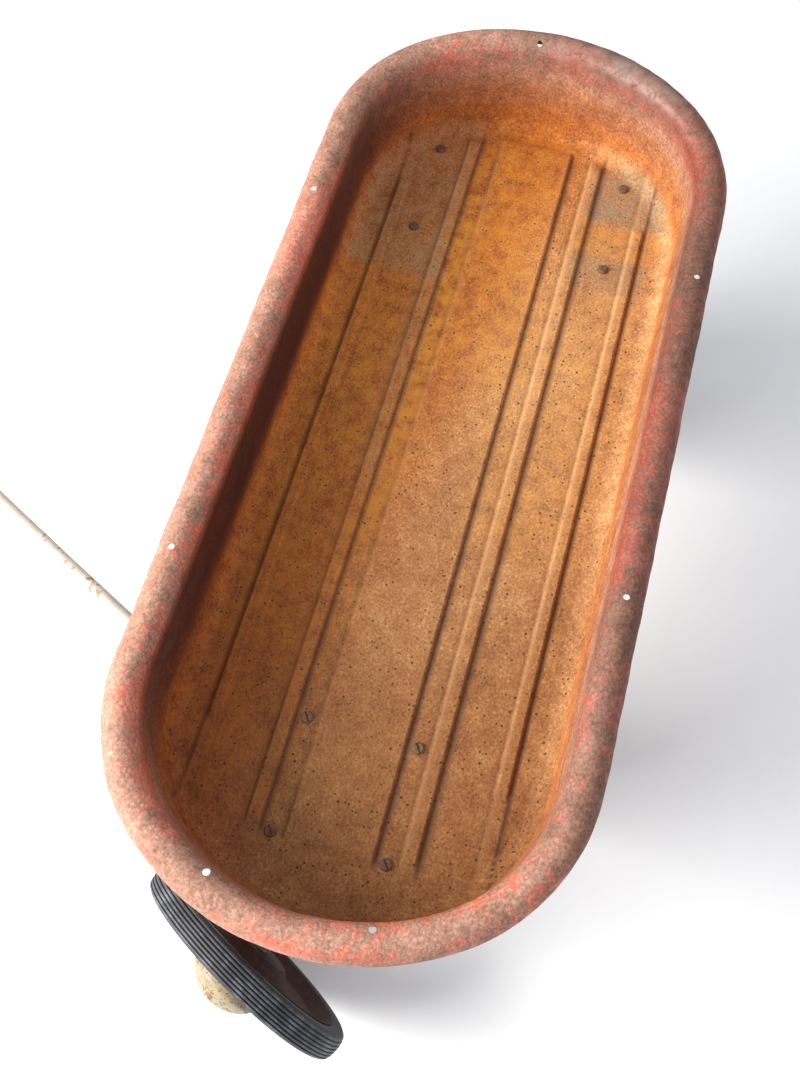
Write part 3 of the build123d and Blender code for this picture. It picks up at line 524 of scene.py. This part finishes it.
enamel = add(tree, "ShaderNodeValToRGB", {"Fac": depth}, stops=[
    (0.5, "#8f4431"), (0.95, "#d89078"), (0.7, "#b45b45"), (0.82, "#c66f58")])
colour = add(tree, "ShaderNodeMix", {0: paint_part, 6: colour, 7: enamel}, 2, data_type="RGBA")
# a whitish patch on the rim at the rear
pale_patch_part = add(tree, "ShaderNodeMapRange", {"Value": blotch, "From Min": 0.3, "From Max": 0.68})
pale_patch_part = add(tree, "ShaderNodeMath", {0: zone["pale_rear_rim"], 1: pale_patch_part}, operation="MULTIPLY")
colour = add(tree, "ShaderNodeMix", {0: pale_patch_part, 6: colour, 7: linear("#cfc0b8")}, 2, data_type="RGBA")
# Tones that change slowly over the tub. The front of the floor and the inner face of the wall on the window side
# are darker and redder: painted shade, where the front wall and the side wall shade them. The rim is darker and
# duller towards the wagon's left and rear.
for zone_name, tone in (("fore", "#c3b096"), ("shaded_wall", "#74472c"), ("handled", "#b0a29d")):
    colour = add(tree, "ShaderNodeMix", {0: zone[zone_name], 6: colour, 7: linear(tone)}, 2, data_type="RGBA",
                 blend_type="MULTIPLY")
tree.links.new(colour, shader.inputs["Base Color"])
rough = add(tree, "ShaderNodeMapRange", {"Value": paint_part, "To Min": 0.78, "To Max": 0.5})
tree.links.new(rough, shader.inputs["Roughness"])
relief = add(tree, "ShaderNodeMath", {0: grain, 1: 0.5}, operation="MULTIPLY")
relief = add(tree, "ShaderNodeMath", {0: pit, 1: -0.8, 2: relief}, operation="MULTIPLY_ADD")
relief = add(tree, "ShaderNodeMath", {0: paint_part, 1: 0.35, 2: relief}, operation="MULTIPLY_ADD")
relief = add(tree, "ShaderNodeMath", {0: blotch, 1: 0.9, 2: relief}, operation="MULTIPLY_ADD")
shape = add(tree, "ShaderNodeBump", {"Height": relief, "Strength": 0.6, "Distance": 0.35 * MM})
tree.links.new(shape, shader.inputs["Normal"])
wear(tub, finish=finish)
print("finish:", finish.name, "nodes:", len(tree.nodes))

# %% [markdown]
# ### Moulded rubber
# The tyres are carbon-black rubber, dry with age. The crests are painted greyer than the grooves: dust, plus a
# painted highlight on the raised ribs. Rubber has an IOR near 1.5 and stays rough.

# %% Dusty black rubber
rubber, tree, shader, where = start("moulded_black_rubber")
dust = add(tree, "ShaderNodeTexNoise", {"Vector": where, "Scale": 1000 / 22, "Detail": 5, "Roughness": 0.65})
speck = add(tree, "ShaderNodeTexNoise", {"Vector": where, "Scale": 1000 / 1.8, "Detail": 2, "Roughness": 0.6})
both = add(tree, "ShaderNodeMath", {0: speck, 1: 0.35, 2: dust}, operation="MULTIPLY_ADD")
clean = add(tree, "ShaderNodeValToRGB", {"Fac": both}, stops=[
    (0.5, "#111113"), (0.85, "#2a2a2d"), (0.7, "#1a1a1c")])
# the crests: grey dust, plus a painted highlight on the raised ribs
dust_and_highlight = add(tree, "ShaderNodeValToRGB", {"Fac": both}, stops=[
    (0.5, "#26272b"), (0.85, "#666a73"), (0.7, "#3f4147")])
crest_part = add(tree, "ShaderNodeAttribute", out="Fac", attribute_name="rib_crest")
grey = add(tree, "ShaderNodeMix", {0: crest_part, 6: clean, 7: dust_and_highlight}, 2, data_type="RGBA")
tree.links.new(grey, shader.inputs["Base Color"])
shader.inputs["Roughness"].default_value = 0.62
shader.inputs["IOR"].default_value = 1.52
shape = add(tree, "ShaderNodeBump", {"Height": both, "Strength": 0.35, "Distance": 0.2 * MM})
tree.links.new(shape, shader.inputs["Normal"])
wear(*tyres, finish=rubber)
print("finish:", rubber.name)

# %% [markdown]
# ### Paint and steel of the rest
# The wheel discs and the undercarriage keep a dull dark red enamel. The hub caps and the handle were enamelled
# cream, which has chipped to rust. Nuts, pins and axles are bare steel that has browned. One function makes such
# a worn finish: a top colour, what shows through where it has worn away, and how much has gone.

# %% Worn finishes


def worn_finish(name, top, under, gone, spot_mm, rough_top, rough_under, metallic=0.0):
    """Two layers: a noise of the spot size, cut at the share that has gone, lets the under colour through."""
    material, tree, shader, where = start(name)
    wide = add(tree, "ShaderNodeTexNoise", {"Vector": where, "Scale": 1000 / (spot_mm * 5), "Detail": 3})
    fine = add(tree, "ShaderNodeTexNoise", {"Vector": where, "Scale": 1000 / spot_mm, "Detail": 7,
                                            "Roughness": 0.68})
    both = add(tree, "ShaderNodeMath", {0: wide, 1: 0.6, 2: fine}, operation="MULTIPLY_ADD")
    level = 0.98 - 0.34 * gone
    lost = add(tree, "ShaderNodeMapRange", {"Value": both, "From Min": level, "From Max": level + 0.05})
    tint = add(tree, "ShaderNodeValToRGB", {"Fac": wide}, stops=[(0.3, top[0]), (0.7, top[1])])
    scar = add(tree, "ShaderNodeValToRGB", {"Fac": fine}, stops=[(0.35, under[0]), (0.7, under[1])])
    colour = add(tree, "ShaderNodeMix", {0: lost, 6: tint, 7: scar}, 2, data_type="RGBA")
    tree.links.new(colour, shader.inputs["Base Color"])
    rough = add(tree, "ShaderNodeMapRange", {"Value": lost, "To Min": rough_top, "To Max": rough_under})
    tree.links.new(rough, shader.inputs["Roughness"])
    shader.inputs["Metallic"].default_value = metallic
    height = add(tree, "ShaderNodeMath", {0: lost, 1: -0.6, 2: fine}, operation="MULTIPLY_ADD")
    shape = add(tree, "ShaderNodeBump", {"Height": height, "Strength": 0.5, "Distance": 0.15 * MM})
    tree.links.new(shape, shader.inputs["Normal"])
    return material


by_slot = {
    "cream_paint": worn_finish(
        "chipped_cream_enamel", ("#a59c8f", "#bdb5a9"), ("#6b4a35", "#a2806a"), 0.16, 7, 0.38, 0.8),
    "wheel_paint": worn_finish(
        "dull_dark_red_enamel", ("#260a07", "#3a110c"), ("#2a140d", "#4a2c1e"), 0.45, 9, 0.8, 0.9),
    "undercarriage_paint": worn_finish(
        "rusted_dark_red_enamel", ("#4a1f17", "#672f22"), ("#4a2c1b", "#8a5c3a"), 0.55, 12, 0.55, 0.85),
    "rusted_fasteners": worn_finish(
        "rusted_screw_heads", ("#5e4431", "#7c5c40"), ("#3e2a1c", "#6a492f"), 0.5, 3, 0.75, 0.85),
    "worn_steel": worn_finish(
        "browned_bare_steel", ("#6d645a", "#8d8478"), ("#4c3423", "#7a563a"), 0.55, 4, 0.45, 0.8, 0.6),
    "hub_steel": worn_finish(
        "greased_hub_steel", ("#77716a", "#97918a"), ("#4d4036", "#72604e"), 0.4, 5, 0.4, 0.7, 0.8),
}
for name, node in nodes.items():
    slot_name = node.data.materials[0].name.split(".")[0] if node.data.materials else ""
    if slot_name in by_slot and not node.hide_render:
        wear(node, finish=by_slot[slot_name])
# the hub caps take a darker copy of the cream: brown stains, plus painted shade
cap_enamel = worn_finish(
    "stained_and_shaded_cream_enamel", ("#86795f", "#aa9b7f"), ("#5c3a22", "#85603f"), 0.42, 3, 0.4, 0.8)
wear(*[node for name, node in nodes.items() if name.endswith("hub_cap")], finish=cap_enamel)
print("finishes:", sorted(material.name for material in by_slot.values()))

# %% [markdown]
# ## Floor, light and camera
# A pale painted floor lies under the wheels. Light comes through a wide soft source on the wagon's right and a
# little ahead, low enough that the tub's wall shades the near half of its floor. An even white sky and a weak lamp
# on the wagon's left fill the rest. The camera looks down from over the front end.

# %% Floor
ground = joints["rear_left_roll"]["pos_m"][2] - wheel_radius * MM
size = 6.0
corners = np.array([[-size, -size, ground], [size, -size, ground], [size, size, ground], [-size, size, ground]])
floor = piece("studio_floor", corners, [(0, 1, 2, 3)], None, None)
pale, tree, shader, where = start("matt_white_floor_paint")
mottle = add(tree, "ShaderNodeTexNoise", {"Vector": where, "Scale": 1000 / 180, "Detail": 5, "Roughness": 0.6})
white = add(tree, "ShaderNodeValToRGB", {"Fac": mottle}, stops=[(0.3, "#f1f1f2"), (0.7, "#f5f5f6")])
tree.links.new(white, shader.inputs["Base Color"])
shader.inputs["Roughness"].default_value = 0.6
wear(floor, finish=pale)

# %% Light
scene = bpy.context.scene
world = bpy.data.worlds.new("white_room")
scene.world = world
world.use_nodes = True
world.node_tree.nodes["Background"].inputs["Color"].default_value = linear("#f4f7fb")
world.node_tree.nodes["Background"].inputs["Strength"].default_value = 0.62


def soft_light(name, toward, distance, width, height, power, tint):
    """A rectangular lamp, at a distance along a direction from the tub, turned to face it."""
    lamp = bpy.data.lights.new(name, "AREA")
    lamp.shape, lamp.size, lamp.size_y = "RECTANGLE", width, height
    lamp.energy, lamp.color = power, linear(tint)[:3]
    holder = bpy.data.objects.new(name, lamp)
    scene.collection.objects.link(holder)
    away = Vector(toward).normalized()
    holder.location = away * distance
    holder.rotation_euler = away.to_track_quat("Z", "Y").to_euler()
    return holder


window = soft_light("window_light", (0.5, -1.0, 0.62), 2.6, 2.2, 1.3, 172, "#fffdf8")
fill = soft_light("fill_light", (-0.1, 1.0, 1.2), 3.2, 3.0, 2.2, 22, "#f2f6ff")
scene.view_settings.view_transform = "Standard"

# %% Camera
right = Vector((-0.271653, 0.962364, 0.007793))
down = Vector((0.881305, 0.252009, -0.399741))
ahead = Vector((-0.386661, -0.101723, -0.916595))
lens = bpy.data.cameras.new("camera_over_the_front")
lens.sensor_width, lens.lens = 36.0, 37.107
lens.clip_start, lens.clip_end = 0.01, 100
camera = bpy.data.objects.new("camera_over_the_front", lens)
scene.collection.objects.link(camera)
pose = Matrix((right, -down, -ahead)).transposed().to_4x4()
pose.translation = (0.48021, 0.08448, 0.93703)
camera.matrix_world = pose
scene.camera = camera
print("camera at", tuple(round(value, 3) for value in camera.location))
